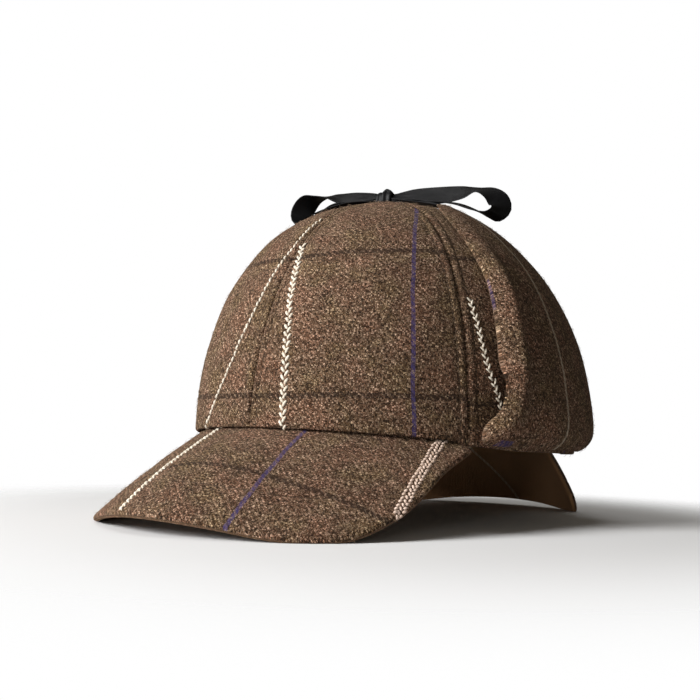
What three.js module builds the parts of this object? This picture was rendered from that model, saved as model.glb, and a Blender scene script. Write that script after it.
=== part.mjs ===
// A tweed deerstalker hat with its ear flaps tied up on the crown by a ribbon bow.
// Millimetres, +Z up, the front peak towards -Y and the wearer's left towards +X.
// It rests on the low edges of its two peaks, and the origin lies on the surface below its middle.

import * as THREE from "three";

// Crown
const HALF_LENGTH = 100; // rim, front to back, over the cloth
const HALF_WIDTH = 86; // rim, side to side, over the cloth
const CROWN_HEIGHT = 116; // from the rim to the top
const CROWN_WALL = 2.4;
const FRONT_ROUNDNESS = 1.98; // exponent of the dome's outline: 2 is an ellipse, more is boxier
const SIDE_ROUNDNESS = 2.45;
const TOP_SHIFT = -12; // how far the top lies in front of the rim's middle
const GORE_PUFF = 0.8; // how far a gore swells between its seams
const FRONT_ARCH = 4.5; // how far the rim rises over the brow
const ARCH_SPEED = 1.2; // how much sooner than a quarter turn the arch ends
const TIP_RADIUS = 1.4; // where the gores' tips end, under the ribbon
const GORE_COUNT = 6;

// Peaks
const FRONT_REACH = 56;
const FRONT_DROP = 33.5;
const FRONT_HALF_ANGLE = 60;
const FRONT_BULGE = 2.5;
const FRONT_THICKNESS = 3.2;
const BACK_REACH = 15;
const BACK_DROP = 30;
const BACK_HALF_ANGLE = 37;
const BACK_BULGE = 1;
const BACK_THICKNESS = 3.2;
const NOSE_DOWN = 0.6; // shares of a peak's thickness that round its outer edge
const NOSE_OUT = 0.35;

// Ear flaps
const FLAP_WALL = 2.4;
const FLAP_LIFT = 9.5; // how far the flap's outer face stands off the crown
const FLAP_CLEARANCE = 0.4; // between the flap's edges and the swell of the gore below
const FLAP_MIDDLE = 93; // angles round the crown, in degrees from the front
const FLAP_HALF_ANGLE = 29;
const FLAP_RISE = 72; // how far up the dome the tip reaches, in degrees

// Ribbon and bow
const RIBBON_WIDTH = 12;
const RIBBON_THICKNESS = 1;
const RIBBON_LIFT = 2.4; // the ribbon's middle over the crown
const BOW_TURN = 18; // the bow lies this far round from straight across
const BOW_Y = -7;
const LOOP_LENGTH = 57;
const LOOP_HEIGHT = 15;
const TAIL_LENGTH = 26;
const TAIL_LIFT = 0.6; // how far the tail stands over the ribbon below it
const KNOT_LENGTH = 8;
const KNOT_WALL = 1.2;
const PINCH = 0.6; // the ribbon's width inside the knot, as a share of its own
const FULL_WIDTH_AT = 20; // how far from the bow's middle the ribbon is at its full width
const STACKED_TO = 24; // how far from the bow's middle the ribbon still rises into the knot
const KNOT_EDGE = 0.6; // share of the knot's wall at its rounded ends
const KNOT_SQUARENESS = 6; // exponent of the knot's outline

// Fits
const GAP = 0.3; // between pieces that are sewn to each other
const REST_FLAT = 0.5; // how far the cloth is flattened where the hat rests

// Shares along each outline, from its middle to its end
const FRONT_EDGE = [
  { along: 0, reach: 1, drop: 0.82 },
  { along: 0.17, reach: 0.93, drop: 0.875 },
  { along: 0.33, reach: 0.85, drop: 0.975 },
  { along: 0.43, reach: 0.79, drop: 1 },
  { along: 0.53, reach: 0.7, drop: 0.955 },
  { along: 0.68, reach: 0.49, drop: 0.68 },
  { along: 0.84, reach: 0.22, drop: 0.26 },
  { along: 1, reach: 0.03, drop: 0.01 },
];
const BACK_EDGE = [
  { along: 0, reach: 1, drop: 0.84 },
  { along: 0.4, reach: 1.04, drop: 0.88 },
  { along: 0.75, reach: 1.1, drop: 0.98 },
  { along: 0.88, reach: 1.04, drop: 1 },
  { along: 0.96, reach: 0.82, drop: 0.86 },
  { along: 1, reach: 0.62, drop: 0.66 },
];
// Shares up the flap, from the fold at the rim to the tip
const FLAP_ROWS = [
  { up: 0, width: 0.97, lift: 0.32 },
  { up: 0.03, width: 0.98, lift: 0.75 },
  { up: 0.08, width: 1, lift: 0.97 },
  { up: 0.15, width: 1, lift: 1 },
  { up: 0.35, width: 1, lift: 0.84 },
  { up: 0.6, width: 1, lift: 0.58 },
  { up: 0.8, width: 0.99, lift: 0.4 },
  { up: 0.92, width: 0.82, lift: 0.38 },
  { up: 1, width: 0.45, lift: 0.38 },
];
// Shares of the loop's length and height, from the knot out along the underside and back over the top
const LOOP_ROWS = [
  { out: 0.01, up: 0 },
  { out: 0.2, up: 0 },
  { out: 0.45, up: -0.06 },
  { out: 0.65, up: -0.38 },
  { out: 0.82, up: -0.68 },
  { out: 0.94, up: -0.68 },
  { out: 1, up: -0.38 },
  { out: 0.95, up: -0.02 },
  { out: 0.8, up: 0.1 },
  { out: 0.5, up: 0.16 },
  { out: 0.2, up: 0.14 },
  { out: 0.01, up: 0.1 },
];

const radians = THREE.MathUtils.degToRad;

// A smooth value from a table's column, through all its rows; an outline starts level at its middle
function fromTable(rows, key, column, at) {
  const last = rows.length - 1;
  const slope = (i) => {
    if (i === 0 && key === "along") return 0;
    const a = rows[Math.max(i - 1, 0)];
    const b = rows[Math.min(i + 1, last)];
    return (b[column] - a[column]) / (b[key] - a[key]);
  };
  let i = 0;
  while (i < last - 1 && at > rows[i + 1][key]) i += 1;
  const span = rows[i + 1][key] - rows[i][key];
  const s = THREE.MathUtils.clamp((at - rows[i][key]) / span, 0, 1);
  const rise = s * s * (3 - 2 * s);
  const bend = span * s * (1 - s) * ((1 - s) * slope(i) - s * slope(i + 1));
  return rows[i][column] * (1 - rise) + rows[i + 1][column] * rise + bend;
}

// The dome: turn is the angle round from the front, rise the angle up from the rim, both in radians
function roundness(turn) {
  return THREE.MathUtils.lerp(SIDE_ROUNDNESS, FRONT_ROUNDNESS, Math.cos(turn) ** 2);
}

function domePoint(turn, rise) {
  const power = 2 / roundness(turn);
  const across = Math.max(Math.cos(rise), 0) ** power;
  const up = Math.max(Math.sin(rise), 0) ** power;
  return new THREE.Vector3(
    HALF_WIDTH * Math.sin(turn) * across,
    -HALF_LENGTH * Math.cos(turn) * across + TOP_SHIFT * (1 - across),
    CROWN_HEIGHT * up,
  );
}

function domeNormal(turn, rise) {
  const step = 1e-3;
  const at = THREE.MathUtils.clamp(rise, 2 * step, Math.PI / 2 - 2 * step);
  const round = domePoint(turn + step, at).sub(domePoint(turn - step, at));
  const up = domePoint(turn, at + step).sub(domePoint(turn, at - step));
  return round.cross(up).normalize();
}

function liftedPoint(turn, rise, lift) {
  return domePoint(turn, rise).addScaledVector(domeNormal(turn, rise), lift);
}

// The rise at which the dome reaches a height over the rim, and the one at which it is a tip's radius wide
function riseAtHeight(turn, height) {
  return Math.asin((height / CROWN_HEIGHT) ** (roundness(turn) / 2));
}

function riseAtTip(turn) {
  const rimRadius = Math.hypot(HALF_WIDTH * Math.sin(turn), HALF_LENGTH * Math.cos(turn));
  return Math.acos((TIP_RADIUS / rimRadius) ** (roundness(turn) / 2));
}

// The dome's height above a place in plan; its share of the rim's size there is found by repetition
function domeHeight(x, y) {
  let share = Math.hypot(x / HALF_WIDTH, y / HALF_LENGTH);
  let forward = 0;
  for (let i = 0; i < 12; i += 1) {
    forward = (y - TOP_SHIFT * (1 - share)) / HALF_LENGTH;
    share = Math.min(Math.hypot(x / HALF_WIDTH, forward), 1);
  }
  const power = roundness(Math.atan2(x / HALF_WIDTH, -forward));
  return CROWN_HEIGHT * (1 - share ** power) ** (1 / power);
}

// The crown's lower edge, which arches up over the brow
function rimHeight(turn) {
  const fromFront = Math.acos(Math.cos(turn));
  return FRONT_ARCH * Math.cos(Math.min(ARCH_SPEED * fromFront, Math.PI / 2));
}

function rimOutward(turn) {
  return new THREE.Vector3(Math.sin(turn) / HALF_WIDTH, -Math.cos(turn) / HALF_LENGTH, 0).normalize();
}

// A closed solid through sections that are closed loops of equally many points
function loft(sections, closed = false) {
  const count = sections[0].length;
  const positions = sections.flat().flatMap((p) => [p.x, p.y, p.z]);
  const triangles = [];
  const last = closed ? sections.length : sections.length - 1;
  for (let i = 0; i < last; i += 1) {
    const here = i * count;
    const next = ((i + 1) % sections.length) * count;
    for (let j = 0; j < count; j += 1) {
      const k = (j + 1) % count;
      triangles.push([here + j, here + k, next + k], [here + j, next + k, next + j]);
    }
  }
  if (!closed) {
    triangles.push(...cap(0, count, false), ...cap((sections.length - 1) * count, count, true));
  }
  const geometry = new THREE.BufferGeometry();
  geometry.setAttribute("position", new THREE.Float32BufferAttribute(positions, 3));
  geometry.setIndex(outward(positions, triangles).flat());
  geometry.computeVertexNormals();
  return geometry;
}

// An end cap, laid as a ladder between the two long sides of a loop
function cap(start, count, turned) {
  const triangles = [];
  let low = 0;
  let high = count - 1;
  while (high - low > 1) {
    triangles.push([start + low, start + high, start + low + 1]);
    low += 1;
    if (high - low > 1) {
      triangles.push([start + low, start + high, start + high - 1]);
      high -= 1;
    }
  }
  return turned ? triangles.map(([a, b, c]) => [a, c, b]) : triangles;
}

// The triangles with their faces pointing out
function outward(positions, triangles) {
  const corner = (i) => new THREE.Vector3().fromArray(positions, 3 * i);
  let volume = 0;
  for (const [a, b, c] of triangles) volume += corner(a).dot(corner(b).cross(corner(c)));
  return volume < 0 ? triangles.map(([a, b, c]) => [a, c, b]) : triangles;
}

function steps(count) {
  return Array.from({ length: count + 1 }, (unused, i) => i / count);
}

// One gore of the crown, a shell between two seams
function gore(index) {
  const columns = 10;
  const rows = 12;
  const sector = (2 * Math.PI) / GORE_COUNT;
  const start = index * sector;
  const meanRadius = (HALF_LENGTH + HALF_WIDTH) / 2;
  const point = (u, v, depth) => {
    const straight = start + u * sector;
    const low = riseAtHeight(straight, rimHeight(straight));
    const rise = THREE.MathUtils.lerp(low, riseAtTip(straight), v);
    const radius = Math.max(meanRadius * Math.cos(rise) ** (2 / roundness(straight)), TIP_RADIUS);
    const turn = straight + ((0.5 - u) * GAP) / radius;
    const puff = GORE_PUFF * (1 - Math.abs(2 * u - 1) ** 3) * (1 - v ** 4);
    return liftedPoint(turn, rise, puff - depth);
  };
  return loft(
    steps(columns).map((u) => [
      ...steps(rows).map((v) => point(u, v, 0)),
      ...steps(rows).reverse().map((v) => point(u, v, CROWN_WALL)),
    ]),
  );
}

// A peak: its upper face runs from under the crown's edge to an outer edge that a table gives
function peak({ middle, halfAngle, reach, drop, bulge, thickness, table, columns, rows }) {
  const inner = (turn) => {
    const p = domePoint(turn, 0).addScaledVector(rimOutward(turn), -CROWN_WALL);
    p.z = rimHeight(turn) - GAP;
    return p;
  };
  const edge = (along, turn) => {
    const out = reach * fromTable(table, "along", "reach", Math.abs(along));
    const down = drop * fromTable(table, "along", "drop", Math.abs(along));
    const p = domePoint(turn, 0).addScaledVector(rimOutward(turn), out);
    p.z = -GAP - down;
    return p;
  };
  const section = (along) => {
    const turn = middle + along * halfAngle;
    const from = inner(turn);
    const to = edge(along, turn);
    const slope = to.clone().sub(from).normalize();
    const side = new THREE.Vector3(Math.cos(turn), Math.sin(turn), 0);
    const face = side.cross(slope).normalize();
    if (face.z < 0) face.negate();
    const swell = bulge * fromTable(table, "along", "reach", Math.abs(along)) ** 2;
    const upper = steps(rows).map((w) => {
      const p = from.clone().lerp(to, w);
      return p.addScaledVector(face, 4 * swell * w * (1 - w));
    });
    const lower = upper.map((p, i) => {
      const down = p.clone().addScaledVector(face, i === 0 ? 0 : -thickness);
      if (i === 0) down.z -= thickness;
      return down;
    });
    const nose = upper[rows].clone().addScaledVector(face, -NOSE_DOWN * thickness);
    nose.addScaledVector(slope, NOSE_OUT * thickness);
    return [...upper, nose, ...lower.reverse()];
  };
  return steps(columns).map((u) => section(2 * u - 1));
}

const frontPeakSections = peak({
  middle: 0,
  halfAngle: radians(FRONT_HALF_ANGLE),
  reach: FRONT_REACH,
  drop: FRONT_DROP,
  bulge: FRONT_BULGE,
  thickness: FRONT_THICKNESS,
  table: FRONT_EDGE,
  columns: 36,
  rows: 5,
});

const backPeakSections = peak({
  middle: Math.PI,
  halfAngle: radians(BACK_HALF_ANGLE),
  reach: BACK_REACH,
  drop: BACK_DROP,
  bulge: BACK_BULGE,
  thickness: BACK_THICKNESS,
  table: BACK_EDGE,
  columns: 30,
  rows: 4,
});

// An ear flap, folded up at the rim; side is 1 for the wearer's left and -1 for the right
function flap(side) {
  const columns = 14;
  const rows = 16;
  const middle = radians(FLAP_MIDDLE);
  const point = (u, v, depth) => {
    const across = 2 * u - 1;
    const width = fromTable(FLAP_ROWS, "up", "width", v) * radians(FLAP_HALF_ANGLE);
    const turn = middle + across * width;
    const crest = FLAP_LIFT * fromTable(FLAP_ROWS, "up", "lift", v);
    const edge = GORE_PUFF + FLAP_CLEARANCE + FLAP_WALL;
    const swell = Math.sqrt(1 - Math.abs(across) ** 3);
    const lift = edge + Math.max(crest - edge, 0) * swell - depth;
    const rise = riseAtHeight(middle, GAP) + v * radians(FLAP_RISE);
    return liftedPoint(side * turn, rise, lift);
  };
  return loft(
    steps(columns).map((u) => [
      ...steps(rows).map((v) => point(u, v, 0)),
      ...steps(rows).reverse().map((v) => point(u, v, FLAP_WALL)),
    ]),
  );
}

// A flat strip along a path; each stop has a place, a direction across the strip and a width
function strip(stops) {
  const sections = stops.map(({ place, across, width }, i) => {
    const before = stops[Math.max(i - 1, 0)].place;
    const after = stops[Math.min(i + 1, stops.length - 1)].place;
    const along = after.clone().sub(before).normalize();
    const half = across.clone().multiplyScalar(width / 2);
    const up = along.cross(across).normalize().multiplyScalar(RIBBON_THICKNESS / 2);
    return [
      place.clone().sub(half).add(up),
      place.clone().add(half).add(up),
      place.clone().add(half).sub(up),
      place.clone().sub(half).sub(up),
    ];
  });
  return loft(sections);
}

// The bow stands on the crown's top, its legs stacked inside the knot
const knotBase = CROWN_HEIGHT + GORE_PUFF;
const layerStep = RIBBON_THICKNESS + GAP;
const firstLayer = knotBase + GAP + KNOT_WALL + GAP + RIBBON_THICKNESS / 2;
const bowAxis = new THREE.Vector3(Math.cos(radians(BOW_TURN)), Math.sin(radians(BOW_TURN)), 0);
const bowAcross = new THREE.Vector3(-bowAxis.y, bowAxis.x, 0);

function bowPlace(out, height) {
  return new THREE.Vector3(0, BOW_Y, height).addScaledVector(bowAxis, out);
}

// Narrow inside the knot, and full width a little way out of it
function ribbonWidth(distance) {
  const opened = THREE.MathUtils.smoothstep(distance, KNOT_LENGTH / 2, FULL_WIDTH_AT);
  return RIBBON_WIDTH * THREE.MathUtils.lerp(PINCH, 1, opened);
}

// 1 inside the knot, falling to 0 a little way out of it
function nearKnot(distance) {
  return 1 - THREE.MathUtils.smoothstep(distance, KNOT_LENGTH / 2 + 1, STACKED_TO);
}

// A stop on a strip that leaves the knot along the bow's axis and then lies over the crown
function crownStop(side, out, turnAway, lift, layer) {
  const near = nearKnot(out);
  const inBow = bowPlace(side * out, 0);
  const away = new THREE.Vector3(side * out, BOW_Y + turnAway, 0);
  const place = inBow.lerp(away, 1 - near);
  place.z = THREE.MathUtils.lerp(domeHeight(place.x, place.y) + lift, layer, near);
  const across = bowAcross.clone().lerp(new THREE.Vector3(0, 1, 0), 1 - near).normalize();
  return { place, across, width: ribbonWidth(out) };
}

// The ribbon from a flap's tip over the crown to the knot
function ribbonRun(side) {
  const tipRise = riseAtHeight(radians(FLAP_MIDDLE), GAP) + radians(FLAP_RISE);
  const tip = liftedPoint(side * radians(FLAP_MIDDLE), tipRise, GORE_PUFF + FLAP_CLEARANCE + FLAP_WALL / 2);
  const start = tip.x * side - GAP - RIBBON_THICKNESS;
  return strip(
    steps(14).map((s) => {
      const out = THREE.MathUtils.lerp(start, GAP, s);
      return crownStop(side, out, (tip.y - BOW_Y) * (1 - s), RIBBON_LIFT, firstLayer);
    }),
  );
}

function bowLoop(side) {
  const stops = steps(30).map((s) => {
    const at = s * (LOOP_ROWS.length - 1);
    const indexed = LOOP_ROWS.map((row, i) => ({ ...row, i }));
    const out = LOOP_LENGTH * fromTable(indexed, "i", "out", at);
    const up = LOOP_HEIGHT * fromTable(indexed, "i", "up", at);
    const place = bowPlace(side * out, firstLayer + 2 * layerStep + up);
    return { place, across: bowAcross, width: ribbonWidth(out) };
  });
  return strip(stops);
}

function bowTail(side) {
  return strip(
    steps(10).map((s) => {
      const out = THREE.MathUtils.lerp(GAP, TAIL_LENGTH, s);
      const turnAway = side * out * Math.tan(radians(BOW_TURN));
      return crownStop(side, out, turnAway, RIBBON_LIFT + layerStep + TAIL_LIFT, firstLayer + layerStep);
    }),
  );
}

// The knot is a band round all the layers
function bowKnot() {
  const halfWidth = (PINCH * RIBBON_WIDTH) / 2 + 2 * GAP;
  const low = knotBase + GAP + KNOT_WALL;
  const topLayer = firstLayer + 2 * layerStep + LOOP_ROWS.at(-1).up * LOOP_HEIGHT;
  const high = topLayer + RIBBON_THICKNESS / 2 + 3 * GAP;
  const middle = (low + high) / 2;
  const halfHeight = (high - low) / 2;
  const ring = (angle, out, grow) => {
    const power = 2 / KNOT_SQUARENESS;
    const c = Math.sign(Math.cos(angle)) * Math.abs(Math.cos(angle)) ** power;
    const s = Math.sign(Math.sin(angle)) * Math.abs(Math.sin(angle)) ** power;
    const place = bowPlace(out, middle + (halfHeight + grow) * s);
    return place.addScaledVector(bowAcross, (halfWidth + grow) * c);
  };
  const sections = steps(24).slice(0, -1).map((s) => {
    const angle = 2 * Math.PI * s;
    const half = KNOT_LENGTH / 2;
    return [
      ring(angle, -half, 0),
      ring(angle, -half, KNOT_WALL * KNOT_EDGE),
      ring(angle, -half / 2, KNOT_WALL),
      ring(angle, half / 2, KNOT_WALL),
      ring(angle, half, KNOT_WALL * KNOT_EDGE),
      ring(angle, half, 0),
    ];
  });
  return loft(sections, true);
}

// The hat stands on the lowest points of its two peaks, so it is turned the little that levels them
function lowest(sections) {
  return sections.flat().reduce((low, p) => (p.z < low.z ? p : low));
}

const frontLow = lowest(frontPeakSections);
const backLow = lowest(backPeakSections);
const restSlope = (frontLow.z - backLow.z) / (frontLow.y - backLow.y);
const restHeight = frontLow.z - restSlope * frontLow.y + REST_FLAT;

function settle(geometry) {
  const position = geometry.getAttribute("position");
  for (let i = 0; i < position.count; i += 1) {
    const height = position.getZ(i) - restSlope * position.getY(i) - restHeight;
    position.setZ(i, Math.max(height, 0));
  }
  geometry.computeVertexNormals();
  return geometry;
}

// Materials
const tweed = () => new THREE.MeshStandardMaterial({ color: 0x5a4634, roughness: 0.95, metalness: 0 });
const satin = () => new THREE.MeshStandardMaterial({ color: 0x101012, roughness: 0.35, metalness: 0 });

const hat = new THREE.Group();

function add(name, geometry, material) {
  const mesh = new THREE.Mesh(settle(geometry), material);
  mesh.name = name;
  hat.add(mesh);
}

const goreNames = [
  "crown_front_left",
  "crown_side_left",
  "crown_back_left",
  "crown_back_right",
  "crown_side_right",
  "crown_front_right",
];
goreNames.forEach((name, i) => add(name, gore(i), tweed()));
add("front_peak", loft(frontPeakSections), tweed());
add("back_peak", loft(backPeakSections), tweed());
for (const [name, side] of [["left", 1], ["right", -1]]) {
  add(`ear_flap_${name}`, flap(side), tweed());
  add(`ribbon_${name}`, ribbonRun(side), satin());
  add(`bow_loop_${name}`, bowLoop(side), satin());
  add(`bow_tail_${name}`, bowTail(side), satin());
}
add("bow_knot", bowKnot(), satin());

// The origin is under the middle of the whole hat
const middle = new THREE.Box3().setFromObject(hat).getCenter(new THREE.Vector3());
hat.position.set(-middle.x, -middle.y, 0);
hat.updateMatrixWorld(true);

export default hat;
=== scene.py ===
"""A tweed deerstalker hat with its ear flaps tied up by a satin ribbon bow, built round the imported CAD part.

Shapes are worked out in millimetres in the crown's own frame: +Z up from the plane of the rim, the front
peak towards -Y and the wearer's left towards +X. placed() then puts them in the frame of the part, in metres.
"""

import math

import bpy
import numpy as np
from mathutils import Matrix, Vector


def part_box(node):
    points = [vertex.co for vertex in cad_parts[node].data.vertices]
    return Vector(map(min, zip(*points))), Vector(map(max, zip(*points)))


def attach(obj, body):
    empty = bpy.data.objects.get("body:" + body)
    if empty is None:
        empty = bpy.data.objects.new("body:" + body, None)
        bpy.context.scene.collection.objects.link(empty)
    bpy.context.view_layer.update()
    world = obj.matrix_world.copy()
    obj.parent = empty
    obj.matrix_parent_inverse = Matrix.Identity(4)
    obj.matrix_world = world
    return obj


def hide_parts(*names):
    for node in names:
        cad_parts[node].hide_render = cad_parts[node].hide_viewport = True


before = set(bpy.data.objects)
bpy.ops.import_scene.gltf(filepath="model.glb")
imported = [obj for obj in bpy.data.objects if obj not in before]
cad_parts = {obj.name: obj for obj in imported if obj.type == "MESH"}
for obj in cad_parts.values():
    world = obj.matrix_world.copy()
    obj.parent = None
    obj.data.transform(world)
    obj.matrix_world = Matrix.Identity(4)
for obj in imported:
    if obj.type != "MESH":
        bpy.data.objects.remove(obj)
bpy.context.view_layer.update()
random = np.random.default_rng(11)

MM = 0.001

# Crown, as in the CAD part
HALF_LENGTH = 100
HALF_WIDTH = 86
CROWN_HEIGHT = 116
CROWN_WALL = 2.4
FRONT_ROUNDNESS = 1.98
SIDE_ROUNDNESS = 2.45
TOP_SHIFT = -12
GORE_PUFF = 0.8
FRONT_ARCH = 4.5
ARCH_SPEED = 1.2
TIP_RADIUS = 1.4
GORE_COUNT = 6
MEAN_RADIUS = (HALF_LENGTH + HALF_WIDTH) / 2

# Crown, beyond the CAD part
HEM_SAG = 1.6  # how far the crown's edge hangs down between the peaks
# the first columns beside a seam and rows above the hem, close together where the cloth turns in
SEAM_COLUMNS = [0, 0.12, 0.35, 0.7, 1.1, 1.6, 2.2, 2.8, 3.3, 3.65, 4.0, 4.35, 4.7, 5.3, 6.4, 8.0]
HEM_ROWS = [0, 0.12, 0.35, 0.7, 1.1, 1.6, 2.3, 3.2, 4.4, 6.0]

# Ear flaps: the first six sizes are those of the CAD part, and the tables after them follow the photograph
FLAP_WALL = 2.4
FLAP_CLEARANCE = 0.4
FLAP_MIDDLE = 93
FLAP_HALF_ANGLE = 29
FLAP_RISE = 72
FLAP_WIDTHS = [
    (0, 0.97), (0.03, 0.98), (0.08, 1), (0.15, 1), (0.35, 1), (0.6, 1), (0.8, 0.99), (0.92, 0.82), (1, 0.45),
]
# by height over the rim: how far the flap's face stands off the crown, how far its front edge lies further
# back (in degrees), how far that edge gapes and how far its front roll swells
FLAP_CRESTS = [
    (0, 1.6), (0.8, 3.4), (2, 5.2), (4, 7.2), (7, 8.9), (12, 9.7), (20, 9.6), (38, 8.3), (60, 7), (74, 5.6),
    (82, 4.6), (90, 3.7), (116, 3.3),
]
FLAP_FRONT_TURN = [
    (0, -1.5), (3, -2.2), (7, -1.8), (11, -0.2), (16, 2), (22, 3.2), (28, 3.9), (34, 4.3), (45, 4.7),
    (60, 5.2), (72, 5.4), (86, 4.2), (98, 3.6), (116, 3),
]
FLAP_GAPE = [(0, 0), (10, 0.3), (14, 4), (20, 6), (27, 5), (33, 1.2), (39, 0), (116, 0)]
FLAP_PUFF = [(0, 0), (4, 1.2), (10, 2.4), (30, 3), (60, 2.8), (80, 1.8), (96, 0.4), (116, 0)]
FLAP_SAG = 0.5  # how far the fold hangs below the rim
FLAP_CORNER = 9.0  # radius of its rear corner
FLAP_FRONT_CORNER = 4.0  # and of its lower front one
FLAP_STRIPE = 7.5  # from the flap's middle forward to its cream line

# Peaks, as in the CAD part
FRONT_PEAK = {
    "middle": 0.0,
    "half_angle": math.radians(60),
    "reach": 56,
    "drop": 33.5,
    "bulge": 2.5,
    "thickness": 3.2,
    "reaches": [
        (0, 1), (0.17, 0.93), (0.33, 0.85), (0.43, 0.79), (0.53, 0.7), (0.68, 0.49), (0.84, 0.22), (1, 0.03),
    ],
    "drops": [
        (0, 0.82), (0.17, 0.875), (0.33, 0.975), (0.43, 1), (0.53, 0.955), (0.68, 0.68), (0.84, 0.26),
        (1, 0.01),
    ],
    "columns": 36,
    "rows": 5,
}
BACK_PEAK = {
    "middle": math.pi,
    "half_angle": math.radians(37),
    "reach": 15,
    "drop": 30,
    "bulge": 1,
    "thickness": 3.2,
    "reaches": [(0, 1), (0.4, 1.04), (0.75, 1.1), (0.88, 1.04), (0.96, 0.82), (1, 0.62)],
    "drops": [(0, 0.84), (0.4, 0.88), (0.75, 0.98), (0.88, 1), (0.96, 0.86), (1, 0.66)],
    "columns": 30,
    "rows": 4,
}
NOSE_OUT = 0.35  # how far the outer edge is rounded out, as a share of the thickness
PEAK_TUCK = 4.0  # beyond the CAD part: how far the cloth runs on inside the crown, above their seam

# Ribbon and bow; the thickness, the loops and the tails follow the photograph and differ from the CAD part
RIBBON_WIDTH = 12
RIBBON_THICKNESS = 0.6
RIBBON_LIFT = 2.4
RIB_PITCH = 0.45  # from one rib of the satin to the next
BOW_TURN = math.radians(18)
BOW_Y = -7
KNOT_LENGTH = 8
KNOT_OUTLINE_POWER = 0.7  # 1 is an oval outline, and less is squarer
PINCH = 0.6  # the ribbon's width in the knot, as a share of its own
FULL_WIDTH_AT = 20  # from the bow's middle to where the ribbon is at its full width
STACKED_TO = 24  # from the bow's middle to where the ribbon starts to rise into the knot
LAYER_STEP = 1.3  # from one layer of ribbon in the knot to the next
TAIL_LENGTH = 34
TAIL_LIFT = 0.6  # how far a tail stands over the ribbon below it

GAP = 0.3
REST_FLAT = 0.5

# Cloth
THREAD = 0.72  # from one yarn of the tweed to the next
GORE_SKEW = 0.04  # how far the gores' blue lines lean towards the seam
GORE_WEFTS = [18, 84]  # up the gores, their dark lines
# a flap's blue line, how far it leans, the middle and length of the part that shows and its strength, and a
# short piece of blue weft: the place of its middle, its width and its length
FLAP_BLUE = {"place": -54.8, "lean": -0.31, "span": (65, 14), "strength": 0.6, "bit": (-37.8, 2.0, 9, 2.4)}
# chain stripes: how wide they are, from one stitch to the next, and how far a stitch slants, in degrees
CHAIN_WIDTH = 3.1
SLIM_CHAIN = 2.4
NARROW_CHAIN = 1.4
BROAD_CHAIN = 4.4
CHAIN_PITCH = 3.15
NARROW_PITCH = 2.6
PEAK_PITCH = 2.4
BROAD_PITCH = 2.1
STITCH_SLANT = 34
NARROW_SLANT = -13
TOPSTITCH_OFFSET = 4.0  # from a seam to its row of topstitching
TOPSTITCH_PITCH = 2.9
TOPSTITCH_LENGTH = 2.3
HIDDEN_ROWS = 10  # of a side gore, where the flap covers the foot of its chain stripe
HAIR_LENGTH = 2.6
HAIR_WIDTH = 0.1
CLOTH_PER_HAIR = 20  # square millimetres
UNDERSIDE = 300  # how far along the cloth the layer under a peak is cut

# The camera, found by fitting the crown's seams and outline to the photograph, whose side is 700 pixels
CAMERA_AZIMUTH = math.radians(37.676)
CAMERA_ELEVATION = math.radians(-5.422)
CAMERA_ROLL = math.radians(1.361)
CAMERA_DISTANCE = 461.192
CAMERA_TARGET = Vector((-16.4, 8.5, 80.0))
FOCAL_PIXELS = 924.559
PHOTO_SIDE = 700
SENSOR = 36.0

# Light
BACKDROP_BRIGHTNESS = 1.0
BACKDROP_RADIUS = 6
FLOOR_RADIUS = 0.36
FLOOR_FADE = (0.14, 0.3)  # from the middle of the floor to where it starts to fade, and to where it is gone
WORLD_BRIGHTNESS = 0.11
WORLD_COLOUR = (1.0, 0.9, 0.76, 1.0)
MIDDLE = (0, 0, 0.08)
LIGHTS = [  # name, place, what it points at, size and power
    ("key", (-0.42, -1.15, 0.52), MIDDLE, 0.6, 29.5),
    ("top", (-0.15, -0.1, 1.3), MIDDLE, 0.6, 3.2),
    ("fill", (0.3, -0.9, 0.06), (0, 0, 0.04), 0.1, 1.0),
]


def from_table(rows, at, level_start=False):
    """A smooth value through a table's rows of place and value."""
    places = np.array([row[0] for row in rows], float)
    values = np.array([row[1] for row in rows], float)
    slopes = np.empty_like(values)
    slopes[0] = (values[1] - values[0]) / (places[1] - places[0])
    slopes[-1] = (values[-1] - values[-2]) / (places[-1] - places[-2])
    slopes[1:-1] = (values[2:] - values[:-2]) / (places[2:] - places[:-2])
    if level_start:
        slopes[0] = 0
    at = np.asarray(at, float)
    i = np.clip(np.searchsorted(places, at) - 1, 0, len(rows) - 2)
    span = places[i + 1] - places[i]
    s = np.clip((at - places[i]) / span, 0, 1)
    rise = s * s * (3 - 2 * s)
    bend = span * s * (1 - s) * ((1 - s) * slopes[i] - s * slopes[i + 1])
    return values[i] * (1 - rise) + values[i + 1] * rise + bend


def smoothstep(x, low, high):
    s = np.clip((np.asarray(x, float) - low) / (high - low), 0, 1)
    return s * s * (3 - 2 * s)


def bump(x, middle, width):
    return np.exp(-(((x - middle) / width) ** 2))


def unit(vectors):
    return vectors / np.maximum(np.linalg.norm(vectors, axis=-1, keepdims=True), 1e-9)


def arc_lengths(path):
    """How far along a path each of its points lies."""
    return np.concatenate([[0], np.cumsum(np.linalg.norm(np.diff(path, axis=0), axis=1))])


def rows_at(at, places, rows):
    """Rows of numbers that are given at some places, interpolated at others."""
    return np.stack([np.interp(at, places, column) for column in rows.T], -1)


# The dome of the crown: turn is the angle round from the front, rise the angle up from the rim
def roundness(turn):
    return SIDE_ROUNDNESS + (FRONT_ROUNDNESS - SIDE_ROUNDNESS) * np.cos(turn) ** 2


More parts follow.
